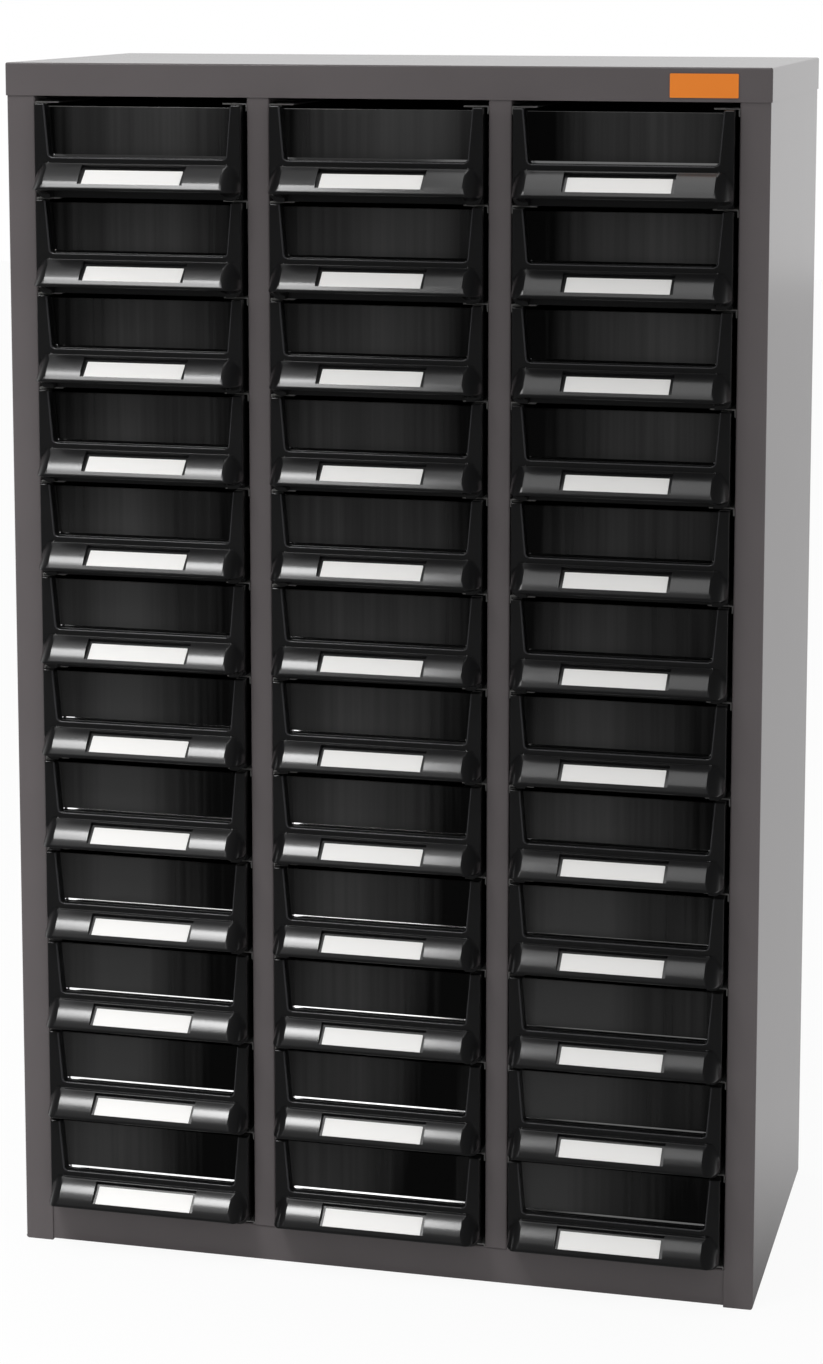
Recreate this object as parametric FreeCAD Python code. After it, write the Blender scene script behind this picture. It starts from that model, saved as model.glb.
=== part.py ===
import FreeCAD, Part
import math
import os

os.makedirs("parts", exist_ok=True)
V = FreeCAD.Vector

# Parts cabinet in folded steel sheet with moulded drawers on steel runners.
# Millimetres. X runs to the right seen from the front, Y to the back, Z up.
# The origin is the centre of the whole cabinet's footprint, pulls included, on the floor.

# Columns of drawers and the channels between them, from left to right
column_names = ["left", "middle", "right"]
divider_names = ["left_divider", "right_divider"]
rows = 12

# Drawer front, as seen from the front
front_width = 163.0
front_height = 71.5
frame_depth = 8.0
post_top_width = 8.0
post_foot_width = 11.5
recess_floor = 31.0
recess_corner = 2.5
frame_corner = 0.8

# Drawer box behind the front
box_step = 1.0
box_wall = 1.6
panel_wall = 1.8
floor_wall = 1.8
rim_drop = 2.0
box_back_corner = 4.0

# Sloping pull with its label pocket, heights above the drawer's underside
pull_reach = 26.0
pull_top = 26.5
pull_ledge = 2.6
pull_bulge = 2.3
nose_height = 7.0
nose_rise = 1.4
lip_wall = 2.1
cheek_inset = 1.5
cheek_foot = 0.8
hip_width = 10.5
hip_stand = 1.0
hip_flats = 4
grip_roof = 2.0

# Label card and its pocket
card_width = 77.5
card_height = 15.2
card_thickness = 0.4
card_shift = -0.7
card_lean = 48.2
card_top = 21.9
card_setback = 14.0
pocket_side_gap = 2.6
pocket_head_gap = 2.8
pocket_foot_gap = 0.3
pocket_back_wall = 1.4

# Steel body
sheet = 1.0
bend = 1.5
foot_bend = 2.3
lid_corner = 2.0
lid_lip = 25.0
cabinet_depth = 290.0
upright_width = 22.5
mullion_width = 17.5
plinth_height = 29.5
plinth_foot_gap = 0.3
panel_fit_gap = 0.5
head_gap = 4.3

# Runners
runner_reach = 19.0
runner_leg = 6.0
runner_lift = 2.2
runner_rear_gap = 5.0

# Running clearances
side_gap = 2.5
row_gap = 1.5
slide_gap = 0.3
rear_gap = 3.0

# How far a cutting block runs past the face that it opens
overrun = 1.0

# Plate on the lid and rivets at the back
badge_width = 50.0
badge_height = 17.5
badge_thickness = 0.8
badge_edge_gap = 24.5
badge_drop = 4.5
rivets_per_side = 4
rivet_radius = 3.2
rivet_height = 0.9
rivet_end_gap = 60.0

# Places worked out from the sizes above
columns = len(column_names)
opening_width = front_width + 2 * side_gap
column_pitch = opening_width + mullion_width
row_pitch = front_height + row_gap
body_width = columns * opening_width + (columns - 1) * mullion_width + 2 * upright_width
body_half = body_width / 2
lid_half = body_half + sheet
lid_front = (pull_reach - cabinet_depth) / 2
lid_back = lid_front + cabinet_depth
body_front = lid_front + sheet
body_back = lid_back - sheet
back_face = body_back - 2 * sheet
first_runner = plinth_height + runner_lift
last_runner = first_runner + rows * row_pitch
lid_foot = last_runner + head_gap
lid_top = lid_foot + lid_lip
body_top = lid_top - sheet
drawer_length = back_face - rear_gap - lid_front


def box(x0, x1, y0, y1, z0, z1):
    """A block between two corners."""
    return Part.makeBox(x1 - x0, y1 - y0, z1 - z0, V(x0, y0, z0))


def edges_along(shape, direction, **near):
    """The straight edges of a shape that run along one axis at the places named in near."""
    found = []
    for edge in shape.Edges:
        ends = [v.Point for v in edge.Vertexes]
        if len(ends) != 2 or abs((ends[1] - ends[0]).normalize().dot(direction)) < 0.999:
            continue
        middle = (ends[0] + ends[1]) * 0.5
        if all(min(abs(getattr(middle, axis) - place) for place in places) < 0.01
               for axis, places in near.items()):
            found.append(edge)
    return found


def soften(shape, radius, direction, **near):
    """The shape with those edges rounded."""
    return shape.makeFillet(radius, edges_along(shape, direction, **near))


def bevel(shape, size, direction, **near):
    """The shape with those edges cut off at half a right angle."""
    return shape.makeChamfer(size, edges_along(shape, direction, **near))


ALONG_X = V(1, 0, 0)
ALONG_Y = V(0, 1, 0)
ALONG_Z = V(0, 0, 1)


def outline(points):
    """A closed wire through points, where an entry of two points is an arc's middle and end."""
    edges = []
    here = points[0]
    for entry in points[1:] + [points[0]]:
        if isinstance(entry, tuple):
            edges.append(Part.Arc(here, entry[0], entry[1]).toShape())
            here = entry[1]
        else:
            edges.append(Part.LineSegment(here, entry).toShape())
            here = entry
    return Part.Wire(edges)


def side_outline(x, points):
    """A closed wire in the plane at x, from points given as reach in front of the lid and height."""
    def place(point):
        return V(x, -point[0], point[1])
    return outline([(place(p[0]), place(p[1])) if isinstance(p[0], tuple) else place(p)
                    for p in points])


def bulged(start, end, bulge):
    """The middle and end of an arc from start to end that stands out to the front by bulge."""
    run = (end[0] - start[0], end[1] - start[1])
    length = math.hypot(*run)
    middle = ((start[0] + end[0]) / 2 - run[1] / length * bulge,
              (start[1] + end[1]) / 2 + run[0] / length * bulge)
    return middle, end


# The card leans back: along runs down its face, out points away from it
lean = math.radians(card_lean)
along = (math.sin(lean), -math.cos(lean))
out = (math.cos(lean), math.sin(lean))
card_head = (pull_reach - card_setback, card_top)


def on_card(down, proud):
    """A point of the drawer's side view, given down the card's face and proud of it."""
    return (card_head[0] + down * along[0] + proud * out[0],
            card_head[1] + down * along[1] + proud * out[1])


def hip_plan(level):
    """The pull's plan at its nose, laid at a level: its face's width to the front, and hips in flats
    that follow an arc from the face's ends back to the drawer's sides, which it meets smoothly."""
    half = front_width / 2
    reach = pull_reach + hip_stand
    turn = math.atan2(hip_width, reach - frame_depth)
    radius = math.hypot(hip_width, reach - frame_depth) / 2 / math.sin(turn)
    hip = []
    for step in range(hip_flats + 1):
        angle = 2 * turn * step / hip_flats
        hip.append((half - radius * (1 - math.cos(angle)), frame_depth + radius * math.sin(angle)))
    right = [(half, -pull_reach)] + hip + [(half - hip_width, 2 * pull_reach)]
    points = [V(x, -y, 0) for x, y in right] + [V(-x, -y, 0) for x, y in reversed(right)]
    wire = outline(points)
    wire.translate(level)
    return Part.Face(wire)


def pull_solid():
    """The sloping pull: a convex face from its ledge down to the nose, drawn out across the front
    and cut to its plan, which is drawn up along the slope from nose to ledge."""
    half = front_width / 2
    ledge = frame_depth + pull_ledge
    nose = (pull_reach, nose_height + nose_rise)
    wire = side_outline(-half, [
        (0, pull_top), (ledge, pull_top), bulged((ledge, pull_top), nose, pull_bulge),
        (pull_reach - nose_rise, nose_height), (0, cheek_foot)])
    solid = Part.Face(wire).extrude(V(front_width, 0, 0))
    slope = (pull_reach - ledge) / (pull_top - nose[1])
    rise = pull_top + 2 * overrun
    plan = hip_plan(V(0, -slope * (nose[1] + overrun), -overrun))
    return solid.common(plan.extrude(V(0, slope * rise, rise)))


def grip_hollow():
    """The finger space under the pull, between the drawer's front wall and the sloping lip."""
    back = -pocket_back_wall - card_thickness
    slope = along[1] / along[0]
    roof_reach = frame_depth - lip_wall
    lip_reach = pull_reach - lip_wall
    anchor = on_card(0, back)
    roof = anchor[1] + (roof_reach - anchor[0]) * slope
    lip = anchor[1] + (lip_reach - anchor[0]) * slope
    half = front_width / 2 - hip_width - cheek_inset
    wire = side_outline(-half, [
        (0, recess_floor - grip_roof), (roof_reach, recess_floor - grip_roof), (roof_reach, roof),
        (lip_reach, lip), (lip_reach, -overrun), (0, -overrun)])
    return Part.Face(wire).extrude(V(2 * half, 0, 0))


def card_block(half_gap, down0, down1, proud0, proud1):
    """A block in line with the card, wider than it by half_gap at each end."""
    corners = [on_card(down0, proud0), on_card(down1, proud0),
               on_card(down1, proud1), on_card(down0, proud1)]
    half = card_width / 2 + half_gap
    wire = side_outline(card_shift - half, corners)
    return Part.Face(wire).extrude(V(2 * half, 0, 0))


def recess():
    """The tapered window in front of the drawer's front wall, open to the top."""
    foot = front_width / 2 - post_foot_width
    spread = (post_foot_width - post_top_width) / (front_height - recess_floor)
    top = front_height + overrun
    head = foot + spread * (top - recess_floor)
    corner = foot - recess_corner
    flank = foot + spread * recess_corner
    y = -frame_depth - overrun
    wire = outline([V(-head, y, top), V(-flank, y, recess_floor + recess_corner),
                    V(-corner, y, recess_floor), V(corner, y, recess_floor),
                    V(flank, y, recess_floor + recess_corner), V(head, y, top)])
    return Part.Face(wire).extrude(V(0, frame_depth + overrun, 0))


def drawer_box():
    """The open box and its hollow, with their back corners taken off."""
    half = front_width / 2 - box_step
    rim = front_height - rim_drop
    shell = box(-half, half, 0, drawer_length, 0, rim)
    shell = bevel(shell, box_back_corner, ALONG_Z, x=[-half, half], y=[drawer_length])
    inner = half - box_wall
    hollow = box(-inner, inner, panel_wall, drawer_length - box_wall, floor_wall, rim + overrun)
    hollow = bevel(hollow, box_back_corner - box_wall / 2, ALONG_Z,
                   x=[-inner, inner], y=[drawer_length - box_wall])
    return shell, hollow


def drawer():
    """One drawer at the origin of its own front: the moulding, and the card in its pocket."""
    shell, hollow = drawer_box()
    half = front_width / 2
    frame = box(-half, half, -frame_depth, 0, 0, front_height)
    frame = bevel(frame, frame_corner, ALONG_Z, x=[-half, half], y=[-frame_depth])
    moulding = frame.cut(recess())
    moulding = moulding.fuse([shell, pull_solid()])
    pocket = card_block(pocket_side_gap, -pocket_head_gap, card_height + pocket_foot_gap,
                        -card_thickness, pull_reach)
    moulding = moulding.cut([hollow, grip_hollow(), pocket]).removeSplitter()
    card = card_block(0, 0, card_height, -card_thickness, 0)
    return [moulding, card]


def side_panel(side):
    """A side in one folded sheet: skin, front flange, inner web for the runners, rear and foot flanges."""
    x_skin = side * body_half
    x_web = side * (body_half - upright_width)
    x0, x1 = sorted((x_skin, x_web))
    outer = box(x0, x1, body_front, body_back, 0, body_top)
    outer = soften(outer, foot_bend, ALONG_Y, x=[x_skin], z=[0])
    outer = soften(outer, bend, ALONG_Z, x=[x_skin, x_web], y=[body_front])
    inner = box(x0 + sheet, x1 - sheet, body_front + sheet, body_back - sheet, sheet,
                body_top + overrun)
    inner = soften(inner, foot_bend - sheet, ALONG_Y, x=[side * (body_half - sheet)], z=[sheet])
    web0, web1 = sorted((x_web, side * (body_half - upright_width + sheet)))
    notch = box(web0, web1, body_front + sheet, body_back - sheet, sheet, plinth_height)
    slit = box(web0, web1, back_face, body_back - sheet, sheet, body_top + overrun)
    return outer.cut([inner, notch, slit])


def mullion(centre):
    """A folded channel between two columns of drawers, open to the back."""
    half = mullion_width / 2
    outer = box(centre - half, centre + half, body_front, back_face, plinth_height, body_top)
    outer = soften(outer, bend, ALONG_Z, x=[centre - half, centre + half], y=[body_front])
    inner = box(centre - half + sheet, centre + half - sheet, body_front + sheet,
                back_face + overrun, plinth_height - overrun, body_top + overrun)
    return outer.cut(inner)


def lid():
    """The top in one pressed tray whose lips close over the body."""
    outer = box(-lid_half, lid_half, lid_front, lid_back, lid_foot, lid_top)
    outer = soften(outer, lid_corner, ALONG_Z, x=[-lid_half, lid_half], y=[lid_front, lid_back])
    rim = [edge for edge in outer.Edges if min(v.Z for v in edge.Vertexes) > lid_top - 0.01]
    outer = outer.makeFillet(bend, rim)
    inner = box(-body_half, body_half, body_front, body_back, lid_foot - overrun, body_top)
    return outer.cut(inner)


def bottom_tray():
    """The bottom as an upturned tray: its top carries the channels, its front lip is the plinth."""
    half = body_half - sheet - panel_fit_gap
    front = body_front + sheet
    foot = sheet + plinth_foot_gap
    outer = box(-half, half, front, back_face, foot, plinth_height)
    outer = soften(outer, bend, ALONG_X, y=[front, back_face], z=[plinth_height])
    inner = box(-half + sheet, half - sheet, front + sheet, back_face - sheet,
                foot - overrun, plinth_height - sheet)
    return outer.cut(inner)


def back_sheet():
    """The back, inside the side panels' rear flanges."""
    half = body_half - sheet - panel_fit_gap
    return box(-half, half, back_face, back_face + sheet, sheet + plinth_foot_gap, body_top)


def runner(x_web, inward, top):
    """One angle runner: its leg on the web, its ledge reaching inward under the drawer."""
    leg = min(runner_leg, top - plinth_height)
    y0 = body_front + sheet
    y1 = back_face - runner_rear_gap
    x_leg = x_web + inward * sheet
    x_end = x_web + inward * runner_reach
    foot = top - leg
    points = [(x_web, foot), (x_leg, foot), (x_leg, top - sheet), (x_end, top - sheet),
              (x_end, top), (x_web, top)]
    wire = outline([V(x, y0, z) for x, z in points])
    return Part.Face(wire).extrude(V(0, y1 - y0, 0))


def badge():
    """The bare plate on the lid's front lip, near its right end."""
    right = body_half - badge_edge_gap + sheet
    top = lid_top - badge_drop
    return box(right - badge_width, right, lid_front - badge_thickness, lid_front,
               top - badge_height, top)


def rivets():
    """Rivet heads down both rear flanges, which hold the back sheet."""
    heads = []
    span = lid_foot - 2 * rivet_end_gap
    for side in (-1, 1):
        x = side * (body_half - upright_width / 2)
        for place in range(rivets_per_side):
            z = rivet_end_gap + span * place / max(rivets_per_side - 1, 1)
            heads.append(Part.makeCylinder(rivet_radius, rivet_height, V(x, body_back, z), ALONG_Y))
    return heads


def write(node, solids):
    """One STEP file per node."""
    shape = solids[0] if len(solids) == 1 else Part.makeCompound(solids)
    shape.exportStep("parts/" + node + ".step")


write("top_cover", [lid()])
write("left_side_panel", [side_panel(-1)])
write("right_side_panel", [side_panel(1)])
write("back_panel", [back_sheet()])
write("bottom_panel", [bottom_tray()])
write("badge_plate", [badge()])
write("rear_rivets", rivets())

for index, name in enumerate(divider_names):
    centre = (index - (columns - 2) / 2) * column_pitch
    write(name, [mullion(centre)])

finished = drawer()
for column, name in enumerate(column_names):
    centre = (column - (columns - 1) / 2) * column_pitch
    for inward, hand in ((1, "left"), (-1, "right")):
        x_web = centre - inward * opening_width / 2
        write(name + "_bay_runners_" + hand,
              [runner(x_web, inward, first_runner + level * row_pitch)
               for level in range(rows + 1)])
    for row in range(rows):
        place = V(centre, lid_front, first_runner + slide_gap + (rows - 1 - row) * row_pitch)
        moved = [solid.translated(place) for solid in finished]
        write(name + "_drawer_" + format(row + 1, "02d"), moved)
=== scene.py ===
import bpy
import math
import numpy as np
from mathutils import Euler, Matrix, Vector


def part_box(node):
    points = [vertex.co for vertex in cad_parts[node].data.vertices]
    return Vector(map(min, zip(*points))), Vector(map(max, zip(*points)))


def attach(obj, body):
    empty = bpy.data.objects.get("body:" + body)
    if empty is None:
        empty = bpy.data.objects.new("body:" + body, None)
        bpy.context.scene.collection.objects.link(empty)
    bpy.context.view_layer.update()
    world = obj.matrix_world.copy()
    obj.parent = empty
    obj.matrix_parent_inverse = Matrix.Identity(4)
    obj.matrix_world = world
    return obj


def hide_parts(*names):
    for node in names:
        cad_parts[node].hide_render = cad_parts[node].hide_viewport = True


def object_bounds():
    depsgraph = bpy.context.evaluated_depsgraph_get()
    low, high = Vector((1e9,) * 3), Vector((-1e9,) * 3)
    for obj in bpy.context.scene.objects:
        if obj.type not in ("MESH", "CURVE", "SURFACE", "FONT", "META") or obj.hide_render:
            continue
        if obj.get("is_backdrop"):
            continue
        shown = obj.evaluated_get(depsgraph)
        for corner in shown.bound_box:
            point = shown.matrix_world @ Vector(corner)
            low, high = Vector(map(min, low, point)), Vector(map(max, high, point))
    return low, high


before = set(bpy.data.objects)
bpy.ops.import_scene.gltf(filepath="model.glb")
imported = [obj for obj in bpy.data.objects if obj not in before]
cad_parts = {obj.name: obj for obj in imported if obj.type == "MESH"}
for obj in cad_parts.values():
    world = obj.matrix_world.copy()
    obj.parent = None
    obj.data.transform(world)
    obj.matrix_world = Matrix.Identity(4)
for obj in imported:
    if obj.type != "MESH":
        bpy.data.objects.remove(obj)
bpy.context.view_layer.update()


# Lid: a tray pressed from 1 mm steel sheet, 586 by 290 mm, whose lips close 25 mm down over the
# body. It is powder coated in a warm dark grey, as the rest of the sheet work is.
# Folds are rounded by FOLD outside and INNER_FOLD inside, and sheared edges by CUT.
SHEET, FOLD, INNER_FOLD, CUT = 1.0, 1.5, 0.5, 0.1
LID_CORNER, LIP_EDGE = 2.0, 0.15


def linear(code):
    """A hex colour in linear light: the sRGB curve undone on each channel."""
    shown = [int(code[place:place + 2], 16) / 255 for place in (1, 3, 5)]
    return (*[c / 12.92 if c <= 0.04045 else ((c + 0.055) / 1.055) ** 2.4 for c in shown], 1.0)


def add_node(tree, kind, settings=None, values=None, links=None):
    """A node of a kind, with its settings, its sockets' values, and links into its sockets."""
    node = tree.nodes.new(kind)
    for key, value in (settings or {}).items():
        setattr(node, key, value)
    for key, value in (values or {}).items():
        node.inputs[key].default_value = value
    for key, source in (links or {}).items():
        tree.links.new(source, node.inputs[key])
    return node


def finish_named(name):
    """An empty material, its node tree and its output node."""
    finish = bpy.data.materials.new(name)
    finish.use_nodes = True
    finish.node_tree.nodes.clear()
    return finish, finish.node_tree, add_node(finish.node_tree, "ShaderNodeOutputMaterial")


def powder_coat(name, colour, orange_peel, roughness):
    """Polyester powder coat on steel, sprayed and baked: a satin gloss that goes bright at a
    grazing look, over an orange peel with waves of 2.5 mm, and a faint cloudiness 60 mm across,
    which is 7 % either side of the colour."""
    finish, tree, out = finish_named(name)
    place = add_node(tree, "ShaderNodeTexCoord")
    cloud = add_node(tree, "ShaderNodeTexNoise", values={"Scale": 1 / 0.060, "Detail": 2.0},
                     links={"Vector": place.outputs["Object"]})
    deep, light = ((*[share * c for c in linear(colour)[:3]], 1.0) for share in (0.93, 1.07))
    shade = add_node(tree, "ShaderNodeMix", {"data_type": "RGBA"}, {"A": deep, "B": light},
                     {"Factor": cloud.outputs["Fac"]})
    peel = add_node(tree, "ShaderNodeTexNoise", values={"Scale": 1 / 0.0025, "Detail": 1.0},
                    links={"Vector": place.outputs["Object"]})
    waves = add_node(tree, "ShaderNodeBump", values={"Strength": orange_peel, "Distance": 0.0001},
                     links={"Height": peel.outputs["Fac"]})
    coat = add_node(tree, "ShaderNodeBsdfPrincipled",
                    values={"Roughness": roughness, "IOR": 1.5},
                    links={"Base Color": shade.outputs["Result"],
                           "Normal": waves.outputs["Normal"]})
    tree.links.new(coat.outputs["BSDF"], out.inputs["Surface"])
    return finish


def grid_quads(across, along, closed=False):
    """The quads of a grid of points counted across first: each joins a point, the next one across
    and the same two one step along. A closed grid joins its last point across to its first."""
    a = np.arange(across if closed else across - 1)
    start = (np.arange(along - 1) * across)[:, None]
    here, beside = start + a, start + (a + 1) % across
    return np.stack([here, beside, beside + across, here + across], axis=-1).reshape(-1, 4)


def rounded(corners, radii, steps=5):
    """A closed outline whose corners are arcs: each arc starts and ends at radius over the tangent
    of half the corner's angle from the corner, and turns by equal steps about its centre."""
    points = np.array(corners, float)
    radii = np.broadcast_to(np.array(radii, float), len(points))
    back = np.roll(points, 1, axis=0) - points
    fore = np.roll(points, -1, axis=0) - points
    back /= np.linalg.norm(back, axis=1)[:, None]
    fore /= np.linalg.norm(fore, axis=1)[:, None]
    half = np.arccos(np.clip((back * fore).sum(1), -1, 1)) / 2
    bisector = back + fore
    bisector /= np.linalg.norm(bisector, axis=1)[:, None]
    centre = points + bisector * (radii / np.sin(half))[:, None]
    turn = np.linspace(-1, 1, steps)[None, :] * (math.pi / 2 - half)[:, None]
    side = fore - back
    side /= np.linalg.norm(side, axis=1)[:, None]
    arc = (-bisector[:, None, :] * np.cos(turn)[..., None]
           + side[:, None, :] * np.sin(turn)[..., None]) * radii[:, None, None]
    return (centre[:, None, :] + arc).reshape(-1, 2)


def make_piece(name, points, faces, finishes, body, node, marks=None):
    """A piece from points in millimetres and faces, which takes the place of a CAD node. It is
    smooth but for edges sharper than 35 degrees, and marks give each face's finish by number."""
    mesh = bpy.data.meshes.new(name)
    mesh.from_pydata((np.asarray(points) / 1000).tolist(), [], [list(face) for face in faces])
    if marks is not None:
        mesh.polygons.foreach_set("material_index", np.asarray(marks, np.int32))
    mesh.shade_smooth()
    mesh.set_sharp_from_angle(angle=math.radians(35))
    piece = bpy.data.objects.new(name, mesh)
    bpy.context.scene.collection.objects.link(piece)
    for finish in finishes:
        mesh.materials.append(finish)
    flat = piece.modifiers.new("flat_faces_stay_flat", "WEIGHTED_NORMAL")
    flat.keep_sharp = True
    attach(piece, body)
    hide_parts(node)


def reach(node):
    """A CAD node's lowest and highest corner in millimetres."""
    low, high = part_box(node)
    return np.array(low) * 1000, np.array(high) * 1000


def pressed_tray(low, high):
    """A tray upside down: rounded rectangles in plan, each set in from the outer one by a step of
    the section, which runs from the inside of the top down the lip, round its foot, up and over
    the fold."""
    arc = np.linspace(math.pi, 0, 7) / 2
    down = [(SHEET, high[2] - SHEET), (SHEET, low[2]), (LIP_EDGE, low[2]), (0.0, low[2] + LIP_EDGE)]
    over = [(FOLD * (1 - math.sin(a)), high[2] - FOLD * (1 - math.cos(a))) for a in arc]
    section = np.array(down + over)
    steps = 6
    turn = (np.arange(4)[:, None] * math.pi / 2 + np.linspace(0, math.pi / 2, steps)).ravel()
    middle = (low[:2] + high[:2]) / 2
    half = (high[:2] - low[:2]) / 2 - LID_CORNER
    quarter = np.repeat(np.array([[1, 1], [-1, 1], [-1, -1], [1, -1]]), steps, axis=0)
    rim = np.stack([np.cos(turn), np.sin(turn)], axis=1)
    plan = middle + quarter * half + rim * (LID_CORNER - section[:, 0]).reshape(-1, 1, 1)
    height = np.broadcast_to(section[:, 1, None, None], plan.shape[:2] + (1,))
    points = np.concatenate([plan, height], axis=2).reshape(-1, 3)
    across = len(turn)
    faces = grid_quads(across, len(section), closed=True).tolist()
    inside = list(range(across))
    top = [across * (len(section) - 1) + k for k in range(across)]
    return points, faces + [inside[::-1], top]


body_paint = powder_coat("polyester_powder_coat_warm_grey", "#625d5e", 0.08, 0.22)
lid_low, lid_high = reach("top_cover")
points, faces = pressed_tray(lid_low, lid_high)
make_piece("lid_tray", points, faces, [body_paint], "cabinet", "top_cover")


# Side panels: each one sheet folded round to a front flange, a web for the runners, a rear flange
# and a foot flange that the cabinet stands on. The outline of a piece runs from its inner web round
# its outer skin, and SEAM rounds a corner where two shells of the same sheet meet.
REAR_FOLD, FOOT_RISE, FOOT_FOLD, FOOT_GAP, SEAM = 0.4, 2.3, 2.25, 0.3, 0.01


def drawn_out(outline, axis, low, high):
    """A closed outline drawn out straight along an axis and capped at both ends. It is turned round
    first where the sign of its area says that its faces would look inwards."""
    flat = np.asarray(outline, float)
    signed = np.sum(flat[:, 0] * np.roll(flat[:, 1], -1) - flat[:, 1] * np.roll(flat[:, 0], -1))
    if (signed < 0) != (axis == 1):
        flat = flat[::-1]
    ends = [np.insert(flat, axis, level, axis=1) for level in (low, high)]
    count = len(flat)
    faces = grid_quads(count, 2, closed=True).tolist()
    return np.vstack(ends), faces + [list(range(count))[::-1], list(range(count, 2 * count))]


def joined(parts):
    """Several shells as the points and faces of one."""
    starts = np.cumsum([0] + [len(points) for points, faces in parts[:-1]])
    points = np.vstack([points for points, faces in parts])
    return points, [[v + s for v in face] for s, (_, faces) in zip(starts, parts) for face in faces]


tray_low, tray_high = reach("bottom_panel")
back_low, back_high = reach("back_panel")
for hand, side in (("left", -1), ("right", 1)):
    low, high = reach(hand + "_side_panel")
    skin, web = (low[0], high[0]) if side < 0 else (high[0], low[0])
    front, rear = low[1], high[1]
    inner = skin - side * SHEET
    tube = [(web, back_low[1]), (web, front), (skin, front), (skin, rear), (web, rear),
            (web, rear - SHEET), (inner, rear - SHEET), (inner, front + SHEET),
            (web + side * SHEET, front + SHEET), (web + side * SHEET, back_low[1])]
    bends = [CUT, FOLD, FOLD, REAR_FOLD, CUT, CUT, CUT, INNER_FOLD, INNER_FOLD, CUT]
    shell = drawn_out(rounded(tube, bends), 2, tray_high[2], high[2])
    channel = [(web, front), (skin, front), (skin, rear), (web, rear), (web, rear - SHEET),
               (inner, rear - SHEET), (inner, front + SHEET), (web, front + SHEET)]
    bends = [2 * CUT, FOLD, REAR_FOLD, CUT, CUT, CUT, INNER_FOLD, 2 * CUT]
    apron = drawn_out(rounded(channel, bends), 2, FOOT_RISE, tray_high[2])
    hem = [(web, 0), (skin, 0), (skin, FOOT_RISE), (inner, FOOT_RISE), (inner, SHEET), (web, SHEET)]
    foot = drawn_out(rounded(hem, [2 * CUT, FOOT_FOLD, SEAM, SEAM, SHEET, 2 * CUT]), 1,
                     front + FOOT_GAP, rear - FOOT_GAP)
    toe = [(web, 0), (skin, 0), (skin, FOOT_RISE), (web, FOOT_RISE)]
    toes = [drawn_out(rounded(toe, [2 * CUT, FOOT_FOLD, SEAM, SEAM]), 1, start, start + SHEET)
            for start in (front, rear - SHEET)]
    points, faces = joined([shell, apron, foot] + toes)
    make_piece(hand + "_side_sheet", points, faces, [body_paint], "cabinet",
               hand + "_side_panel")


# Dividers: channels of the same sheet between two columns of drawers, open to the back, with a
# front face 17.5 mm wide, powder coated too. They stand on the bottom tray and end under the lid.
CHANNEL_BENDS = [CUT, FOLD, FOLD, CUT, CUT, INNER_FOLD, INNER_FOLD, CUT]
for hand in ("left", "right"):
    low, high = reach(hand + "_divider")
    channel = [(low[0], high[1]), (low[0], low[1]), (high[0], low[1]), (high[0], high[1]),
               (high[0] - SHEET, high[1]), (high[0] - SHEET, low[1] + SHEET),
               (low[0] + SHEET, low[1] + SHEET), (low[0] + SHEET, high[1])]
    points, faces = drawn_out(rounded(channel, CHANNEL_BENDS), 2, low[2], high[2])
    make_piece(hand + "_divider_channel", points, faces, [body_paint], "cabinet",
               hand + "_divider")


# Bottom and back: the bottom is a tray turned over, folded from the same sheet, whose front lip is
# the plinth, and the back is a plain sheet inside the side panels' rear flanges.
def folded_plinth():
    """The tray's section, an upturned U with 1.5 mm folds, drawn out across the cabinet."""
    low, high = tray_low, tray_high
    section = [(low[1], low[2]), (low[1], high[2]), (high[1], high[2]), (high[1], low[2]),
               (high[1] - SHEET, low[2]), (high[1] - SHEET, high[2] - SHEET),
               (low[1] + SHEET, high[2] - SHEET), (low[1] + SHEET, low[2])]
    return drawn_out(rounded(section, CHANNEL_BENDS), 0, low[0], high[0])


points, faces = folded_plinth()
make_piece("bottom_tray", points, faces, [body_paint], "cabinet", "bottom_panel")
sheet = [(back_low[0], back_low[2]), (back_high[0], back_low[2]), (back_high[0], back_high[2]),
         (back_low[0], back_high[2])]
points, faces = drawn_out(rounded(sheet, REAR_FOLD), 1, back_low[1], back_high[1])
make_piece("back_sheet", points, faces, [body_paint], "cabinet", "back_panel")


# Rivets: round heads in drawn aluminium, 6.4 mm across, that hold the back sheet to the side
# panels' rear flanges, four to a side.
HEAD_RADIUS, HEADS_A_SIDE, HEAD_SPOKES = 3.2, 4, 20


def domed_heads(low, high):
    """Domes on a plane facing back: radius and height follow a quarter of an ellipse."""
    rings = 5
    rise = np.linspace(0, math.pi / 2, rings + 1)[:-1]
    turn = np.linspace(0, 2 * math.pi, HEAD_SPOKES, endpoint=False)
    places = [(x, z) for x in (low[0] + HEAD_RADIUS, high[0] - HEAD_RADIUS)
              for z in np.linspace(low[2] + HEAD_RADIUS, high[2] - HEAD_RADIUS, HEADS_A_SIDE)]
    foot = list(range(HEAD_SPOKES))[::-1]
    crown = list(range(HEAD_SPOKES * (rings - 1), HEAD_SPOKES * rings))
    shells = []
    for x, z in places:
        radius = HEAD_RADIUS * np.cos(rise)[:, None]
        points = np.stack(np.broadcast_arrays(
            x - radius * np.cos(turn), low[1] + (high[1] - low[1]) * np.sin(rise)[:, None],
            z + radius * np.sin(turn)), axis=-1).reshape(-1, 3)
        faces = grid_quads(HEAD_SPOKES, rings, closed=True).tolist()
        shells.append((points, faces + [foot, crown]))
    return joined(shells)


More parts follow.
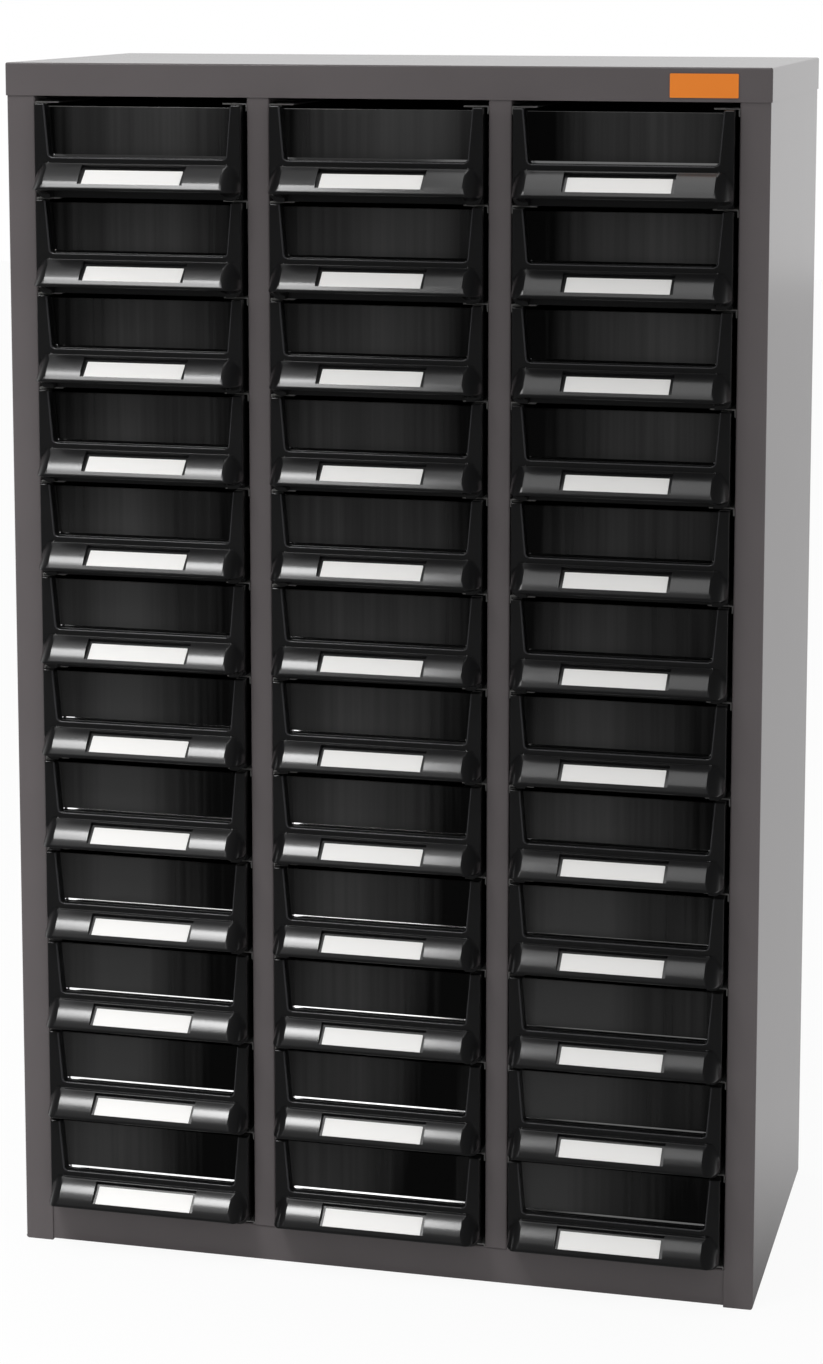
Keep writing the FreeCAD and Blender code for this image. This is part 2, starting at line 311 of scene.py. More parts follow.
# Drawn aluminium that air has clouded: a pale metal with a dull, wide gleam
aluminium, tree, out = finish_named("drawn_aluminium")
metal = add_node(tree, "ShaderNodeBsdfPrincipled",
                 values={"Base Color": linear("#b9babb"), "Metallic": 1.0, "Roughness": 0.38})
tree.links.new(metal.outputs["BSDF"], out.inputs["Surface"])
points, faces = domed_heads(*reach("rear_rivets"))
make_piece("rivet_heads", points, faces, [aluminium], "cabinet", "rear_rivets")


# Runners: angles of zinc plated strip, spot welded by their legs to the webs, one pair to a drawer
# and one pair over the top drawers. Only their cut ends show in front, as bright lines.
ROW_PITCH, RUNNER_LEVELS, RUNNER_LEG = 73.0, 13, 6.0
RUNNER_BENDS = [0.8, CUT, CUT, 0.3, CUT, CUT]

# Zinc plate: a light grey metal whose gloss is uneven, in a spangle of 6 mm
zinc, tree, out = finish_named("zinc_plated_steel")
place = add_node(tree, "ShaderNodeTexCoord")
spangle = add_node(tree, "ShaderNodeTexNoise", values={"Scale": 1 / 0.006, "Detail": 3.0},
                   links={"Vector": place.outputs["Object"]})
dull = add_node(tree, "ShaderNodeMapRange", values={"To Min": 0.32, "To Max": 0.52},
                links={"Value": spangle.outputs["Fac"]})
metal = add_node(tree, "ShaderNodeBsdfPrincipled",
                 values={"Base Color": linear("#c4c3c1"), "Metallic": 0.85},
                 links={"Roughness": dull.outputs["Result"]})
tree.links.new(metal.outputs["BSDF"], out.inputs["Surface"])

for bay in ("left", "middle", "right"):
    for hand, inward in (("left", 1), ("right", -1)):
        node = bay + "_bay_runners_" + hand
        low, high = reach(node)
        web, end = (low[0], high[0]) if inward > 0 else (high[0], low[0])
        angles = []
        for level in range(RUNNER_LEVELS):
            top = high[2] - ROW_PITCH * (RUNNER_LEVELS - 1 - level)
            foot = max(top - RUNNER_LEG, tray_high[2])
            inside = web + inward * SHEET
            angle = [(web, top), (web, foot), (inside, foot), (inside, top - SHEET),
                     (end, top - SHEET), (end, top)]
            angles.append(drawn_out(rounded(angle, RUNNER_BENDS, 4), 1, low[1], high[1]))
        points, faces = joined(angles)
        make_piece(bay + "_bay_angles_" + hand, points, faces, [zinc], "cabinet",
                   node)


# Plate: a thin plate under an orange film, glued on the lid's front lip near its right end, with
# its corners rounded.
PLATE_CORNER = 0.7

# A satin film gives an even, strong colour and no clear reflection
orange, tree, out = finish_named("satin_orange_film_on_plate")
film = add_node(tree, "ShaderNodeBsdfPrincipled",
                values={"Base Color": linear("#f8881a"), "Roughness": 0.5})
tree.links.new(film.outputs["BSDF"], out.inputs["Surface"])
low, high = reach("badge_plate")
face = [(low[0], low[2]), (high[0], low[2]), (high[0], high[2]), (low[0], high[2])]
points, faces = drawn_out(rounded(face, PLATE_CORNER), 1, low[1], high[1])
make_piece("orange_plate", points, faces, [orange], "cabinet", "badge_plate")


# Drawer mouldings: black plastic, one shot, with a frame of satin posts and a rail round a glossy
# front wall, and a sloping pull that is hipped back to the posts and hollow for the fingers. All is
# given in millimetres as x across, p out to the front and h up from the drawer's underside.

# Half widths of the frame, of the box, and of the window at its foot and at its head
FRAME, BOX_HALF, FLANK_FOOT, FLANK_HEAD = 81.5, 80.5, 70.0, 73.5
# How far the frame stands before the glossy wall, its height and the box's, and the window's foot
DEPTH, HEIGHT, RIM, RECESS_FOOT, RECESS_CORNER = 8.0, 71.5, 69.5, 31.0, 2.5
# Thickness of the front wall and floor, and of the side walls, and the box's length and corner
WALL, BOX_WALL, BOX_LENGTH, BOX_CORNER = 1.8, 1.6, 284.0, 4.0
# The pull's face, from its head down to its nose and across to where the hips begin
HEAD, NOSE, SWELL = np.array([10.6, 26.5]), np.array([26.0, 8.4]), 1.8
FACE_END, HIP_RADIUS, SLOPE = 71.0, 22.43, 0.851
# What softens the hip, the face's end and the frame's edge, and the lower corner, which fades out
# up the hip
HIP_SOFT, FACE_SOFT, EDGE, CORNER, CORNER_FADE = 0.45, 0.3, 0.8, 7.5, 13.0
# The label's pocket to either side, and its ends and floor counted along and out from the card
POCKET_RIGHT, POCKET_LEFT = 40.65, 42.05
POCKET_HEAD, POCKET_FOOT, POCKET_FLOOR = -2.8, 15.5, -0.4
# The card leans back from its head
LEAN = math.radians(48.2)
DOWN = np.array([math.sin(LEAN), -math.cos(LEAN)])
PROUD = np.array([math.cos(LEAN), math.sin(LEAN)])
CARD_HEAD = np.array([12.0, 21.9])


def on_card(down, proud):
    """A point of the side view, counted down the card's face from its head and out from it."""
    return CARD_HEAD + down * DOWN + proud * PROUD


def bulge(steps):
    """The pull's face from its head at 0 to its nose at 1: the chord, swelled by 1.8 mm times four
    times the share of the way down and of the way left, which is a parabola near a flat arc."""
    s = np.asarray(steps, float)[:, None]
    chord = NOSE - HEAD
    normal = np.array([-chord[1], chord[0]]) / np.linalg.norm(chord)
    return HEAD + chord * s + normal * SWELL * 4 * s * (1 - s)


def fillet(a, corner, b, count):
    """A corner rounded from a to b: a quadratic curve drawn to the corner."""
    s = np.linspace(0, 1, count)[:, None]
    a, corner, b = (np.array(q, float) for q in (a, corner, b))
    return a * (1 - s) ** 2 + corner * 2 * s * (1 - s) + b * s ** 2


def straight(a, b, count):
    """Points evenly from a to b, both included."""
    return np.linspace(np.array(a, float), np.array(b, float), count)


def lower_path(hollow, pocket):
    """The side view from the wall's back foot under the pull, round its nose and up its face to the
    ledge, through the finger hollow or not and through the card's pocket or not. The hollow's roof
    lies a wall's thickness behind the card, along its slope."""
    slope = DOWN[1] / DOWN[0]
    anchor = on_card(0, -WALL)
    roof, middle, lip = (anchor[1] + (p - anchor[0]) * slope for p in (5.9, 15, 23.9))
    if hollow:
        # Up the front wall, over the hollow's head and down behind the face to its lip
        under = np.vstack([[(0, 0.4), (0, 20)], fillet((0, 27), (0, 29), (2, 29), 4),
                           fillet((4.6, 29), (5.9, 29), (5.9, 27.6), 3),
                           fillet((5.9, roof + 1), (5.9, roof), (6.7, roof + 0.8 * slope), 3),
                           [(15, middle), (23.9, lip), (23.9, 7.0)]])
    else:
        # Out along the drawer's underside, round to its front and on under the pull
        under = np.vstack([straight((0.5, 0), (6, 0), 4), fillet((7.2, 0), (8, 0), (8, 0.8), 3),
                           [(8, 2.4)], straight((8.2, 2.87), (23.9, 6.82), 7)])
    nose = fillet((24.3, 6.9), (26.2, 7.1), (25.7, 9.2), 7)
    corner = fillet(bulge([0.045])[0], (10.6, 26.9), (10.0, 26.5), 5)
    if pocket:
        floor = straight(on_card(POCKET_FOOT, POCKET_FLOOR), on_card(POCKET_HEAD, POCKET_FLOOR), 5)
        face = np.vstack([bulge([0.93, 0.86, 0.826]), [on_card(POCKET_FOOT, 0.3)], floor,
                          [on_card(POCKET_HEAD, proud) for proud in (0.3, 1.5, 2.62)]])
        head = np.vstack([bulge([0.051, 0.048]), corner])
    else:
        face = bulge([0.93, 0.86, 0.80, 0.76, 0.72, 0.58, 0.45, 0.33, 0.24, 0.20, 0.165, 0.135])
        head = np.vstack([bulge([0.10, 0.07]), corner])
    return np.vstack([[(-WALL, 0), (0, 0)], under, nose, face, head])


def upper_paths():
    """The side view from the ledge up: in the window over the rail, back along the recess's floor,
    up a chamfer and the glossy wall, and on a post straight up its face and over its end."""
    window = np.vstack([[(8.8, 26.5)], fillet((8.3, 26.5), (8, 26.5), (8, 26.8), 3),
                        [(8, 28.2), (8, 29.6)], fillet((8, 30.1), (8, 31), (7.1, 31), 5),
                        [(5.0, 31), (2.8, 31), (2.1, 31), (1.6, 31.2)],
                        [(1.17, 31.61), (0.75, 32.06), (0.36, 32.51), (0, 32.95), (0, 33.7)],
                        [(0, 35), (0, 50), (0, 67.5)], fillet((0, 68.7), (0, RIM), (-0.8, RIM), 4),
                        straight((-1.0, RIM), (-1.4, RIM), 4), [(-WALL, RIM)]])
    rise = np.concatenate([np.linspace(HEAD[1], 38, 20), [42, 53, 67.0]])
    post = np.vstack([np.stack([np.full(len(rise), DEPTH), rise], axis=1),
                      fillet((DEPTH, 70.3), (DEPTH, HEIGHT), (6.8, HEIGHT), 4),
                      [(0.5, HEIGHT), (0, 71.2), (0, 70.2), (0, RIM)], [(-WALL, RIM)]])
    return window, post


def settle(low, high, soft):
    """The lesser of two values, rounded where they cross: a root of their squared difference."""
    return (low + high - np.sqrt((low - high) ** 2 + soft ** 2)) / 2


def hip_reach(across, height):
    """How far out a hip stands: in plan an arc from the face's end back to the drawer's side, which
    it meets square, drawn up along the slope from nose to ledge."""
    off = across - (FRAME - HIP_RADIUS)
    arc = np.sqrt(np.maximum(HIP_RADIUS ** 2 - off ** 2, 0))
    return DEPTH + arc - SLOPE * (height - NOSE[1])


QUARTER = np.linspace(0, math.pi / 2, 5)


def stations_across(pocket_edge):
    """Places across half a front as a column, from the middle to the edge: in the pocket, on the
    pull beside it, over the window's flank and the face's end, on the hip, round the rim by a
    quarter turn, and back to the box. Second, how many there are up to the end of each stretch."""
    pocket = [0, 20, pocket_edge - 1.5, pocket_edge]
    beside = [pocket_edge + 0.02, pocket_edge + 0.4, 52, 66, 69.5]
    cheek = FACE_END + np.array([-1.42, -1.05, -0.75, -0.5, -0.25, 0.0, 0.25, 0.55])
    hip = [72.0, 73.2, 74.6, 76.0, 77.3, 78.6, 79.8]
    rim = FRAME - EDGE + EDGE * np.sin(QUARTER)
    stretches = [pocket, beside, cheek, hip, rim, [FRAME, BOX_HALF, BOX_HALF]]
    return np.concatenate(stretches)[:, None], np.cumsum([len(places) for places in stretches])


def pull_half(x, pockets, flanks):
    """The lower part, from the wall's foot to the ledge, as p and h at each station and each point
    up its side view: lifted round the lower corner, and hipped back beyond the face's end."""
    kinds = [lower_path(True, True), lower_path(True, False), lower_path(False, False)]
    low = np.repeat(np.stack(kinds), [pockets, flanks - pockets, len(x) - flanks], axis=0)
    p, h = low[..., 0], low[..., 1]
    # The lower corner is round in the front view, and what lifts it fades out up the hip
    off = np.maximum(x - (FRAME - CORNER), 0)
    lift = CORNER - np.sqrt(np.maximum(CORNER ** 2 - off ** 2, 0))
    h = h + lift * np.clip(1 - h / CORNER_FADE, 0, 1)
    # The face ends in a round edge, and the hip falls away behind it but stays before the frame.
    # Two points at the wall's foot and fifteen under the pull come before the face
    beyond = np.arange(len(x))[:, None] >= flanks
    face = np.arange(low.shape[1]) >= 2 + 15
    p = np.where(beyond, settle(p, hip_reach(x, h), HIP_SOFT), p)
    p = np.where(beyond & face, -settle(-p, -DEPTH, FACE_SOFT), p)
    p[:, :2] = low[:, :2, 0]
    return p, h


def window_half(x, flanks, posts, rims):
    """The upper part, from the ledge to the top, as x, p and h: the window's side view up to its
    flank and the post's beyond it. The flank between them is a wall with draft, which leans
    outwards with height and turns in round the recess's corner. It goes from one side view to the
    other by its share of the depth."""
    window, post = upper_paths()
    index = np.arange(len(x))[:, None]
    run = np.vstack([[(-2.1, 0)], fillet((-1.5, 0), (-0.5, 0), (-0.4, 1.0), 3),
                     fillet((0.0, 6.8), (0.1, 8), (1.2, 8), 4)])
    after = len(x) - posts
    weight = np.concatenate([np.zeros(flanks), run[:, 1] / DEPTH, np.ones(after)])[:, None]
    between = (weight > 0) & (weight < 1)
    p = np.where(weight == 0, window[:, 0], post[:, 0])
    p = np.where(between, np.maximum(weight * DEPTH, window[:, 0]), p)
    mean = window[:, 0] * (1 - weight) + post[:, 0] * weight
    p = np.where(between & (window[:, 0] < 0), mean, p)
    h = window[:, 1] * (1 - weight) + post[:, 1] * weight
    rise = np.clip((h - RECESS_FOOT) / (HEIGHT - RECESS_FOOT), 0, 1)
    turned = 1 - np.clip((h - RECESS_FOOT) / RECESS_CORNER, 0, 1)
    flank = FLANK_FOOT + (FLANK_HEAD - FLANK_FOOT) * rise
    flank = flank - RECESS_CORNER * (1 - np.sqrt(1 - turned ** 2))
    flank_x = np.pad(run[:, 0], (flanks, after))[:, None]
    x_panel = x * (flank + run[0, 0]) / x[flanks - 1]
    x_post = FRAME - (FRAME - x) * (FRAME - flank - run[-1, 0]) / (FRAME - x[posts - 1])
    x_up = np.where(index < flanks, x_panel, np.where(index < posts, flank + flank_x, x_post))
    return np.where(index >= rims, x, x_up), p, h


def front_half(side, pocket_edge):
    """Half of a drawer's front as a grid of sections: stations across from the middle to the edge,
    each with the same count of points up its side view, the pull's and then the window's."""
    x_low, (pockets, flanks, posts, rims, backs, _) = stations_across(pocket_edge)
    p_low, h_low = pull_half(x_low, pockets, flanks)
    x_up, p_up, h_up = window_half(x_low, flanks, posts, rims)
    # Between the ledge and the rail's top, nine points up, the two layouts across blend
    blend = np.clip(np.arange(x_up.shape[1]) / 9.0, 0, 1)
    x = np.concatenate([np.repeat(x_low, p_low.shape[1], axis=1),
                        x_low * (1 - blend) + x_up * blend], axis=1)
    p = np.concatenate([p_low, p_up], axis=1)
    h = np.concatenate([h_low, h_up], axis=1)
    # The outer edge is rounded where it stands 0.9 mm clear of the wall, then turns to the box
    edge, set_back = slice(rims, backs), EDGE * (1 - np.cos(QUARTER))[:, None]
    p[edge] = np.where(p[edge] > 0.9, p[edge] - set_back, p[edge])
    p[backs:] = np.minimum(p[backs:], 0)
    h[-2:] = np.minimum(h[-2:], RIM)
    p[-1] = -WALL
    return np.stack([side * x, p, h], axis=-1)


SATIN, GLOSSY, PAINTED_EDGE_HIGHLIGHT, BRIGHT = range(4)


def front_shell():
    """Both halves side by side, closed by one flat face at the back of the front wall. Each quad's
    finish goes by its place, counted from the middle outwards and from the ledge up."""
    right = front_half(1, POCKET_RIGHT)
    left = front_half(-1, POCKET_LEFT)
    grid = np.concatenate([left[::-1], right[1:]], axis=0)
    stations, heights = grid.shape[:2]
    faces = grid_quads(heights, stations)[:, ::-1].tolist()
    back = np.concatenate([np.arange(stations) * heights,
                           (stations - 1) * heights + np.arange(1, heights),
                           np.arange(stations - 2, -1, -1) * heights + heights - 1,
                           np.arange(heights - 2, 0, -1)])
    # Outwards come the wall, the flank's drafted face and its edge; up come the rail's edge, the
    # recess's floor, the chamfer at the wall's foot and the wall
    aside = np.abs(np.arange(stations - 1) + 0.5 - (stations - 1) // 2)[:, None]
    up = np.arange(heights - 1) - len(lower_path(True, True))
    in_window, flank_edge = aside < 11, (aside > 13) & (aside < 16) & (up >= 7) & (up < 24)
    rail_edge, chamfer, wall = ((up >= foot) & (up < head)
                                for foot, head in ((6, 10), (14, 18), (14, 26)))
    # The rail's and the flanks' edges take the paler finish, which is a painted highlight
    marks = np.select([in_window & rail_edge | flank_edge, in_window & chamfer, in_window & wall],
                      [PAINTED_EDGE_HIGHLIGHT, BRIGHT, GLOSSY], SATIN)
    return grid.reshape(-1, 3), faces + [back.tolist()], marks.ravel().tolist() + [SATIN]


def box_shell():
    """The box behind the front wall: a wall's section carried along a U with rounded back corners,
    open to the front, where it ends inside the front wall, and closed by a floor and an
    underside."""
    section = np.vstack([[(0.9, 0.0)], fillet((0.6, 0.0), (0.0, 0.0), (0.0, 0.8), 3),
                         fillet((0.0, RIM - 0.5), (0.0, RIM), (0.5, RIM), 3),
                         fillet((1.1, RIM), (BOX_WALL, RIM), (BOX_WALL, RIM - 0.5), 3),
                         fillet((BOX_WALL, 3.3), (BOX_WALL, WALL), (3.1, WALL), 4)])
    turn = np.linspace(0, math.pi / 2, 7)
    centre = (BOX_HALF - BOX_CORNER, BOX_LENGTH - BOX_CORNER)
    # Down one side, from inside the front wall and by its middle, then round the back corner
    runs = np.vstack([[(centre[0], WALL / 2), (centre[0], 140.0)], [centre] * len(turn)])
    out = np.vstack([[(1, 0), (1, 0)], np.stack([np.cos(turn), np.sin(turn)], axis=1)])
    right = np.concatenate([runs, out], axis=1)
    left = right[::-1] * np.array([-1, 1, -1, 1])
    path = np.vstack([right, left])
    offset = BOX_CORNER - section[:, 0]
    x = path[:, 0, None] + path[:, 2, None] * offset
    y = path[:, 1, None] + path[:, 3, None] * offset
    points = np.stack([x, -y, np.broadcast_to(section[:, 1], x.shape)], axis=-1)
    steps, count = points.shape[:2]
    underside = np.arange(steps) * count
    floor = underside + count - 1
    seam = [floor[0], underside[0], underside[-1], floor[-1]]
    ends = [np.arange(count), underside[-1] + np.arange(count)[::-1]]
    closing = [list(map(int, face)) for face in (floor, underside[::-1], seam, *ends)]
    return points.reshape(-1, 3), grid_quads(count, steps).tolist() + closing


front_points, front_faces, front_marks = front_shell()
box_points, box_faces = box_shell()
points, faces = joined([(front_points, front_faces), (box_points, box_faces)])
marks = front_marks + [SATIN] * len(box_faces)
# The side view's reach runs to the front, which is against Y
moulding = np.stack([points[:, 0], -points[:, 1], points[:, 2]], axis=1)

# Posts, rail, pull and box: black polystyrene moulded against blasted steel, which gives a satin
# with a wide gleam, uneven over 35 mm. The moulding's skin lies over it as a coat with a narrower
# gleam. The grain is drawn at 1.2 mm, coarser than it is, to show at all
satin, tree, out = finish_named("moulded_polystyrene_satin_black")
place = add_node(tree, "ShaderNodeTexCoord")
grain = add_node(tree, "ShaderNodeTexNoise", values={"Scale": 1 / 0.0012, "Detail": 2.0},
                 links={"Vector": place.outputs["Object"]})
spark = add_node(tree, "ShaderNodeBump", values={"Strength": 0.12, "Distance": 0.00006},
                 links={"Height": grain.outputs["Fac"]})
wear = add_node(tree, "ShaderNodeTexNoise", values={"Scale": 1 / 0.035, "Detail": 4.0},
                links={"Vector": place.outputs["Object"]})
sheen = add_node(tree, "ShaderNodeMapRange", values={"To Min": 0.32, "To Max": 0.44},
                 links={"Value": wear.outputs["Fac"]})
plastic = add_node(tree, "ShaderNodeBsdfPrincipled",
                   values={"Base Color": linear("#151516"), "IOR": 1.5,
                           "Coat Weight": 1.0, "Coat IOR": 1.55, "Coat Roughness": 0.17},
                   links={"Roughness": sheen.outputs["Result"], "Normal": spark.outputs["Normal"],
                          "Coat Normal": spark.outputs["Normal"]})
tree.links.new(plastic.outputs["BSDF"], out.inputs["Surface"])

# The wall: the same plastic moulded against polished steel, a black mirror that ripples. Its colour
# is streaked upright with painted reflection, in waves of 190 mm across that lean a little, in
# clouds 75 mm wide and in lines of 5.5 mm. Sockets that share a name, as a math node's, go by
# number
glossy, tree, out = finish_named("moulded_polystyrene_polished_black")
place = add_node(tree, "ShaderNodeTexCoord")
lean = add_node(tree, "ShaderNodeMapping", values={"Rotation": (0, -0.075, 0)},
                links={"Vector": place.outputs["Object"]})
apart = add_node(tree, "ShaderNodeSeparateXYZ", links={"Vector": lean.outputs["Vector"]})
turns = add_node(tree, "ShaderNodeMath", {"operation": "MULTIPLY_ADD"},
                 {1: 2 * math.pi / 0.19, 2: 3.22}, {0: apart.outputs["X"]})
waves = add_node(tree, "ShaderNodeMath", {"operation": "SINE"}, links={0: turns.outputs[0]})
wide = add_node(tree, "ShaderNodeMapping", values={"Scale": (1 / 0.075, 0.0, 1 / 0.42)},
                links={"Vector": place.outputs["Object"]})
broad = add_node(tree, "ShaderNodeTexNoise", values={"Scale": 1.0, "Detail": 1.0},
                 links={"Vector": wide.outputs["Vector"]})
narrow = add_node(tree, "ShaderNodeMapping", values={"Scale": (1 / 0.0055, 0.0, 1 / 0.35)},
                  links={"Vector": place.outputs["Object"]})
fine = add_node(tree, "ShaderNodeTexNoise", values={"Scale": 1.0, "Detail": 3.0},
                links={"Vector": narrow.outputs["Vector"]})
bands = add_node(tree, "ShaderNodeMath", {"operation": "MULTIPLY_ADD"}, {1: 0.26},
                 {0: waves.outputs[0], 2: broad.outputs["Fac"]})
both = add_node(tree, "ShaderNodeMath", {"operation": "MULTIPLY_ADD"}, {1: 0.34},
                {0: fine.outputs["Fac"], 2: bands.outputs[0]})
# The base colour here runs from black to grey in streaks of painted reflection
painted_reflection_streaks = add_node(tree, "ShaderNodeValToRGB", links={"Fac": both.outputs[0]})
for stop, share, shade in zip(painted_reflection_streaks.color_ramp.elements, (0.42, 1.0), ("#020202", "#3c3c3c")):
    stop.position, stop.color = share, linear(shade)
ripple = add_node(tree, "ShaderNodeBump", values={"Strength": 0.25, "Distance": 0.0002},
                  links={"Height": broad.outputs["Fac"]})
polish = add_node(tree, "ShaderNodeBsdfPrincipled", values={"Roughness": 0.10, "IOR": 1.55},
                  links={"Base Color": painted_reflection_streaks.outputs["Color"],
                         "Normal": ripple.outputs["Normal"]})
tree.links.new(polish.outputs["BSDF"], out.inputs["Surface"])

# The window's sharp edges, on the rail and on the posts, carry a painted highlight: a greyer,
# glossier line of about 1 mm
edge_highlight_paint, tree, out = finish_named("polystyrene_edge_painted_highlight")
plastic = add_node(tree, "ShaderNodeBsdfPrincipled",
                   values={"Base Color": linear("#363638"), "Roughness": 0.25, "IOR": 1.6})
tree.links.new(plastic.outputs["BSDF"], out.inputs["Surface"])

# The chamfer at the wall's foot is left like glass by the mould's insert, and mirrors the softbox
# as a white line in the lower rows. Its IOR is above the plastic's, since so fine a line dims
bright, tree, out = finish_named("polished_polystyrene_fillet")
plastic = add_node(tree, "ShaderNodeBsdfPrincipled",
                   values={"Base Color": linear("#0a0a0a"), "Roughness": 0.08, "IOR": 1.9})
tree.links.new(plastic.outputs["BSDF"], out.inputs["Surface"])


# Label cards: white uncoated card, cut and slipped into the pocket of each pull, where it leans
# back with it. The pocket, and so the card, sits a little to the left of the drawer's middle.
CARD_WIDTH, CARD_HEIGHT, CARD_THICK, CARD_CORNER, CARD_SHIFT = 77.5, 15.2, 0.4, 0.5, -0.7


def card_sheet():
    """A flat box on the pocket's floor: a rectangle with rounded corners in three layers, the last
    one set in by 0.1 mm for the cut's soft edge."""
    half = CARD_WIDTH / 2
    outline = rounded([(-half, 0), (half, 0), (half, CARD_HEIGHT), (-half, CARD_HEIGHT)],
                      CARD_CORNER, 4)
    layers = [(0.0, 0.0), (0.0, 0.33), (0.1, CARD_THICK)]
    rings = []
    for inset, proud in layers:
        flat = outline - np.sign(outline - np.array([0, CARD_HEIGHT / 2])) * inset
        view = CARD_HEAD + flat[:, 1, None] * DOWN + (proud - CARD_THICK) * PROUD
        rings.append(np.stack([flat[:, 0] + CARD_SHIFT, -view[:, 0], view[:, 1]], axis=1))
    count = len(outline)
    faces = grid_quads(count, len(layers), closed=True)[:, ::-1].tolist()
    return np.vstack(rings), faces + [list(range(count)), list(range(2 * count, 3 * count))[::-1]]


# Uncoated card: white and nearly matt, with a tooth of fibres, drawn at 0.8 mm to show at all
card_stock, tree, out = finish_named("uncoated_white_card")
place = add_node(tree, "ShaderNodeTexCoord")
fibre = add_node(tree, "ShaderNodeTexNoise", values={"Scale": 1 / 0.0008, "Detail": 3.0},
                 links={"Vector": place.outputs["Object"]})
tooth = add_node(tree, "ShaderNodeBump", values={"Strength": 0.08, "Distance": 0.00005},
                 links={"Height": fibre.outputs["Fac"]})
paper = add_node(tree, "ShaderNodeBsdfPrincipled",
                 values={"Base Color": linear("#f0efed"), "Roughness": 0.36},
                 links={"Normal": tooth.outputs["Normal"]})
tree.links.new(paper.outputs["BSDF"], out.inputs["Surface"])
card_points, card_faces = card_sheet()

ROWS = 12
for bay in ("left", "middle", "right"):
    for row in range(ROWS):
        drawer = bay + "_drawer_" + format(row + 1, "02d")
        low, high = reach(drawer)
        seat = np.array([(low[0] + high[0]) / 2, low[1] + NOSE[0], low[2]])
        make_piece(drawer + "_moulding", moulding + seat, faces, [satin, glossy, edge_highlight_paint, bright],
                   drawer, drawer, marks)
        make_piece(drawer + "_card", card_points + seat, card_faces, [card_stock], drawer,
                   drawer)


# Studio: a pale matt floor and a white surround. The camera sees both as white. In a reflection
# they are pale behind the cabinet and dark in front of it, so that the glossy walls stay black.
floor_paint, tree, out = finish_named("pale_studio_floor")
rays = add_node(tree, "ShaderNodeLightPath")
matt = add_node(tree, "ShaderNodeBsdfDiffuse", values={"Color": linear("#e6e6e6")})
white = add_node(tree, "ShaderNodeEmission", values={"Color": (1, 1, 1, 1), "Strength": 1.0})
place = add_node(tree, "ShaderNodeTexCoord")
apart = add_node(tree, "ShaderNodeSeparateXYZ", links={"Vector": place.outputs["Object"]})
behind = add_node(tree, "ShaderNodeMapRange", {"interpolation_type": "SMOOTHSTEP"},
                  {"From Min": -0.3, "From Max": 0.3, "To Min": 0.05, "To Max": 0.72},
                  {"Value": apart.outputs["Y"]})
dark = add_node(tree, "ShaderNodeEmission", values={"Color": (0, 0, 0, 1), "Strength": 0.0})
mirrored = add_node(tree, "ShaderNodeMixShader",
                    links={0: behind.outputs[0], 1: dark.outputs[0], 2: white.outputs[0]})
shown = add_node(tree, "ShaderNodeMath", {"operation": "MULTIPLY"}, {1: 0.93},
                 {0: rays.outputs["Is Camera Ray"]})
plain = add_node(tree, "ShaderNodeMixShader",
                 links={0: shown.outputs[0], 1: matt.outputs[0], 2: white.outputs[0]})
mixed = add_node(tree, "ShaderNodeMixShader",
                 links={0: rays.outputs["Is Glossy Ray"], 1: plain.outputs[0],
                        2: mirrored.outputs[0]})
tree.links.new(mixed.outputs[0], out.inputs["Surface"])
mesh = bpy.data.meshes.new("floor")
mesh.from_pydata([(-8, -6, 0), (8, -6, 0), (8, 8, 0), (-8, 8, 0)], [], [(0, 1, 2, 3)])
mesh.materials.append(floor_paint)
floor = bpy.data.objects.new("floor", mesh)
bpy.context.scene.collection.objects.link(floor)
floor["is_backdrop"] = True

# The surround gives a soft even light to matt surfaces, and to mirrors a room that is pale behind,
# dimmer above and dark in front
world = bpy.data.worlds.new("studio")
world.use_nodes = True
world.node_tree.nodes.clear()
tree = world.node_tree
out = add_node(tree, "ShaderNodeOutputWorld")
rays = add_node(tree, "ShaderNodeLightPath")
facing = add_node(tree, "ShaderNodeTexCoord")
apart = add_node(tree, "ShaderNodeSeparateXYZ", links={"Vector": facing.outputs["Generated"]})
behind = add_node(tree, "ShaderNodeMapRange", {"interpolation_type": "SMOOTHSTEP"},
                  {"From Min": 0.2, "From Max": 0.85, "To Min": 0.03, "To Max": 1.0},
                  {"Value": apart.outputs["Y"]})
overhead = add_node(tree, "ShaderNodeMapRange", {"interpolation_type": "SMOOTHSTEP"},
                    {"From Min": 0.25, "From Max": 0.9, "To Min": 1.0, "To Max": 0.5},
                    {"Value": apart.outputs["Z"]})
room = add_node(tree, "ShaderNodeMath", {"operation": "MULTIPLY"},
                links={0: behind.outputs[0], 1: overhead.outputs[0]})
mirrored = add_node(tree, "ShaderNodeMath", {"operation": "MULTIPLY"},
                    links={0: room.outputs[0], 1: rays.outputs["Is Glossy Ray"]})
direct = add_node(tree, "ShaderNodeMath", {"operation": "MAXIMUM"},
                  links={0: rays.outputs["Is Camera Ray"], 1: rays.outputs["Is Transmission Ray"]})
diffuse = add_node(tree, "ShaderNodeMath", {"operation": "MULTIPLY"}, {1: 0.77},
                   {0: rays.outputs["Is Diffuse Ray"]})
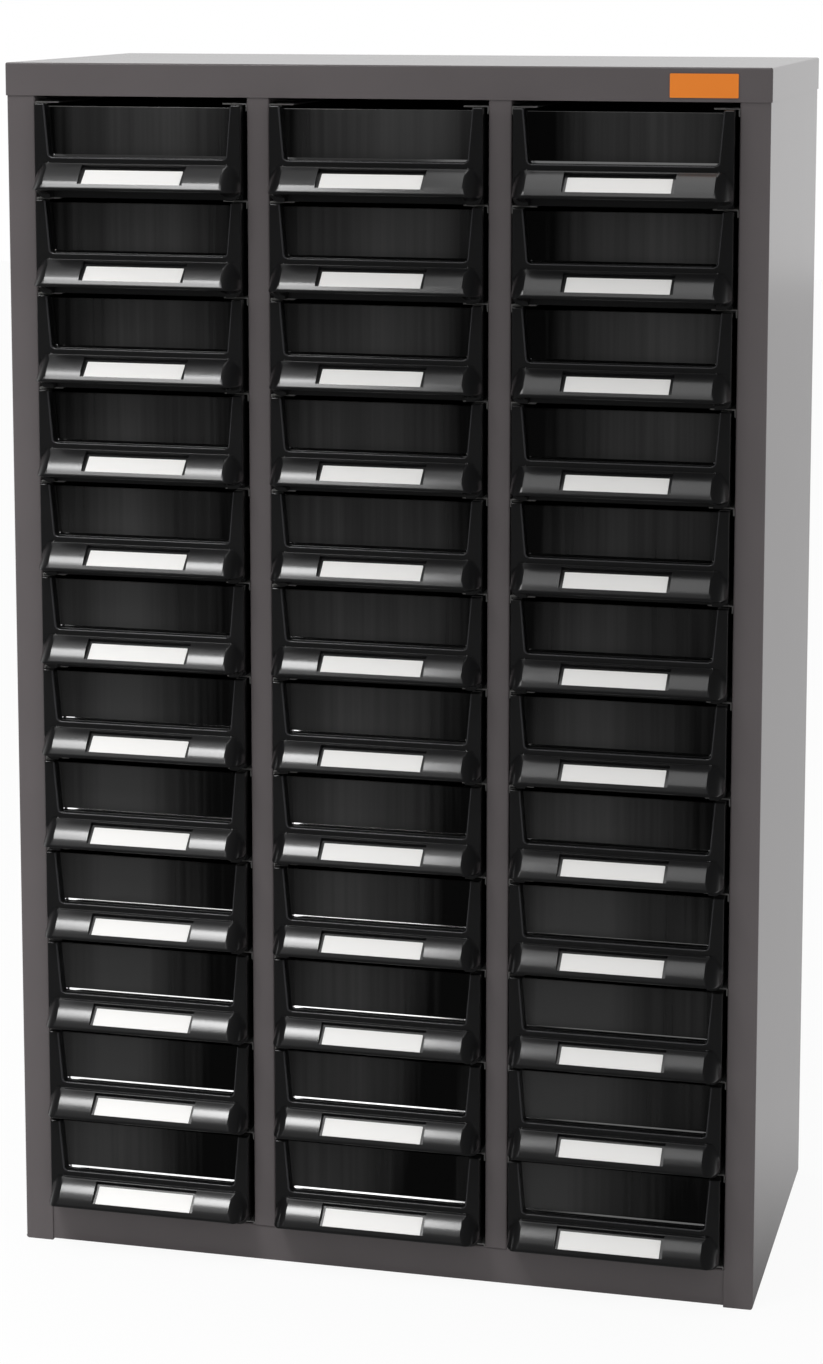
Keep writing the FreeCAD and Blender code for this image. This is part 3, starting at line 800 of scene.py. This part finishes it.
seen = add_node(tree, "ShaderNodeMath", {"operation": "MAXIMUM"},
                links={0: mirrored.outputs[0], 1: direct.outputs[0]})
level = add_node(tree, "ShaderNodeMath", {"operation": "MAXIMUM"},
                 links={0: seen.outputs[0], 1: diffuse.outputs[0]})
sky = add_node(tree, "ShaderNodeBackground", values={"Color": (1, 1, 1, 1)},
               links={"Strength": level.outputs[0]})
tree.links.new(sky.outputs[0], out.inputs["Surface"])
bpy.context.scene.world = world

# A softbox high in front to the left, tilted to the cabinet, with a grid that keeps its light
# within 69 degrees, and two wide dim panels overhead
for name, place, size, tilt, spread, power in (
        ("softbox", (-0.69, -1.10, 1.9), (0.62, 0.60), 20.0, 69.0, 4.0),
        ("overhead", (-0.02, -0.75, 2.7), (0.75, 2.6), 0.0, 180.0, 8.0),
        ("overhead_left", (-0.92, -0.2, 2.7), (1.05, 1.7), 0.0, 180.0, 1.5)):
    lamp = bpy.data.lights.new(name, "AREA")
    lamp.shape, lamp.energy, lamp.spread = "RECTANGLE", power, math.radians(spread)
    lamp.size, lamp.size_y = size
    holder = bpy.data.objects.new(name, lamp)
    holder.location = place
    holder.rotation_euler = Euler((math.radians(tilt), 0, 0), "XYZ")
    holder.visible_camera = False
    bpy.context.scene.collection.objects.link(holder)


# Camera: where the photograph was taken from, 2.4 m in front, right of the middle and just above
# the lid. Its lens is shifted by a fifth of the frame, and it looks down by 7.9 degrees for the
# rest of the photograph's shift, so that other views still show the whole cabinet.
LOOK_DOWN, LOOK_LEFT = 0.13763, 0.24132
camera = bpy.data.cameras.new("camera")
camera.sensor_fit, camera.sensor_width = "AUTO", 36.0
camera.lens = 83.05
camera.shift_y = -0.2
eye = bpy.data.objects.new("camera", camera)
eye.location = (0.58336, -2.39659, 1.00408)
eye.rotation_euler = Euler((math.pi / 2 - LOOK_DOWN, 0, LOOK_LEFT), "XYZ")
bpy.context.scene.collection.objects.link(eye)
bpy.context.scene.camera = eye

scene = bpy.context.scene
scene.view_settings.view_transform = "Standard"
low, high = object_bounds()
